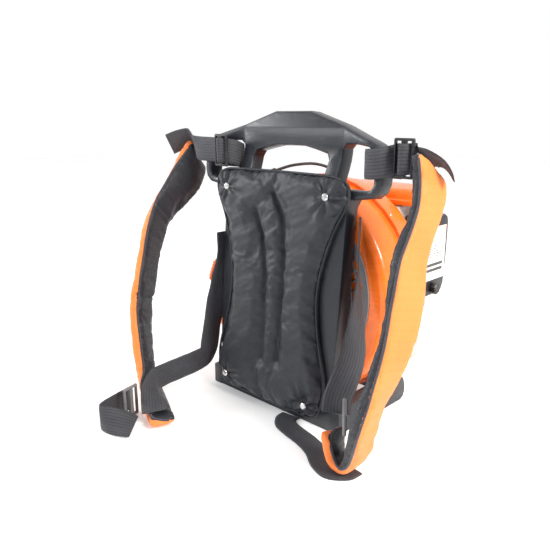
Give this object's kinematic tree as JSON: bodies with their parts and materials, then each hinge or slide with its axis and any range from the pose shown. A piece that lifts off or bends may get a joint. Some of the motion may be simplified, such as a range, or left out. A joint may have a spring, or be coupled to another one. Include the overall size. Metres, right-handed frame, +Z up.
{
  "type": "backpack leaf blower",
  "caption": "Petrol backpack leaf blower: moulded back plate with carrying arch, padded harness, volute fan housing with side outlet, and a small engine with fuel tank.",
  "frame": {"origin": "on the floor, under the middle of the whole part's bounding box, straps included", "axes": "+Z up; +Y from the wearer's back pad towards the engine; +X to the wearer's right-hand side as worn"},
  "size_m": [0.5536, 0.5153, 0.4652],
  "materials": {
    "frame_plastic": "matte moulded, fine grain",
    "black_plastic": "matte moulded",
    "orange_plastic": "satin moulded",
    "grey_plastic": "matte moulded",
    "light_plastic": "matte moulded",
    "label_white": "printed film, no lettering",
    "cast_alloy": "as cast",
    "steel": "plated",
    "dark_steel": "heat darkened",
    "rubber": "matte",
    "nylon_black": "woven nylon",
    "nylon_orange": "woven nylon",
    "webbing": "ribbed webbing",
    "foam": "open-cell foam"
  },
  "bodies": {
    "machine": {"back_plate": "frame_plastic", "base_frame": "frame_plastic", "base_bolt_left": "steel", "base_bolt_right": "steel", "vibration_mount_top_left": "rubber", "vibration_mount_top_right": "rubber", "vibration_mount_low_left": "rubber", "vibration_mount_low_right": "rubber", "fan_housing_front": "orange_plastic", "fan_housing_rear": "orange_plastic", "housing_screw_a": "steel", "housing_screw_b": "steel", "housing_screw_c": "steel", "intake_grille": "grey_plastic", "outlet_stub": "black_plastic", "outlet_clamp": "black_plastic", "crankcase": "cast_alloy", "cylinder": "cast_alloy", "spark_plug": "steel", "plug_boot": "rubber", "ignition_module": "black_plastic", "muffler": "dark_steel", "muffler_guard": "black_plastic", "carburettor": "cast_alloy", "filter_base": "light_plastic", "air_filter": "foam", "filter_cover": "black_plastic", "rating_label": "label_white", "engine_cover": "orange_plastic", "starter_housing": "black_plastic", "fuel_tank": "light_plastic", "fuel_line": "rubber", "control_cable": "rubber", "back_pad": "nylon_black", "pad_snap_top_left": "steel", "pad_snap_top_right": "steel", "pad_snap_low_left": "steel", "pad_snap_low_right": "steel", "shoulder_pad_right": "nylon_orange", "shoulder_pad_left": "nylon_orange", "upper_strap_right": "webbing", "upper_strap_left": "webbing", "upper_buckle_right": "black_plastic", "upper_buckle_left": "black_plastic", "lower_strap_right": "webbing", "lower_strap_left": "webbing", "lower_buckle_right": "grey_plastic", "lower_buckle_left": "grey_plastic", "strap_tail_left": "webbing", "strap_tail_right": "webbing"},
    "rotor": {"crankshaft": "steel", "flywheel": "dark_steel", "impeller": "black_plastic"},
    "starter_pulley": {"starter_pulley": "grey_plastic"},
    "starter_grip": {"starter_grip": "black_plastic"},
    "fuel_cap": {"fuel_cap": "black_plastic"},
    "clamp_knob": {"clamp_knob": "orange_plastic"},
    "filter_knob": {"filter_knob": "black_plastic"},
    "choke_lever": {"choke_lever": "orange_plastic"},
    "primer_bulb": {"primer_bulb": "light_plastic"}
  },
  "joints": [
    {"name": "rotor_spin", "type": "hinge", "parent": "machine", "child": "rotor", "pos_m": [0, 0.1341, 0.195], "axis": [0, 1, 0], "continuous": true},
    {"name": "starter_pull", "type": "slide", "parent": "machine", "child": "starter_grip", "axis": [-1, 0, 0], "range_m": [0, 0.06], "stiffness_N_per_m": 40, "springref_m": -0.03},
    {"name": "pulley_turn", "type": "hinge", "parent": "machine", "child": "starter_pulley", "pos_m": [0, 0.2341, 0.195], "axis": [0, -1, 0], "range_deg": [0, 158]},
    {"name": "fuel_cap_turn", "type": "hinge", "parent": "machine", "child": "fuel_cap", "pos_m": [0.074, 0.2141, 0.12], "axis": [0, 0, 1], "range_deg": [0, 120]},
    {"name": "clamp_knob_turn", "type": "hinge", "parent": "machine", "child": "clamp_knob", "pos_m": [-0.20061, 0.0341, 0.13511], "axis": [0.4231, 0, 0.9061], "range_deg": [0, 360]},
    {"name": "filter_knob_turn", "type": "hinge", "parent": "machine", "child": "filter_knob", "pos_m": [0.15, 0.2071, 0.183], "axis": [1, 0, 0], "range_deg": [0, 360]},
    {"name": "choke_turn", "type": "hinge", "parent": "machine", "child": "choke_lever", "pos_m": [0.098, 0.2421, 0.23], "axis": [0, -1, 0], "range_deg": [0, 45]},
    {"name": "primer_press", "type": "slide", "parent": "machine", "child": "primer_bulb", "axis": [0, -1, 0], "range_m": [0, 0.004], "stiffness_N_per_m": 400}
  ],
  "couplings": [
    {"joint": "pulley_turn", "follows": "starter_pull", "rad_per_m": 45.455}
  ]
}
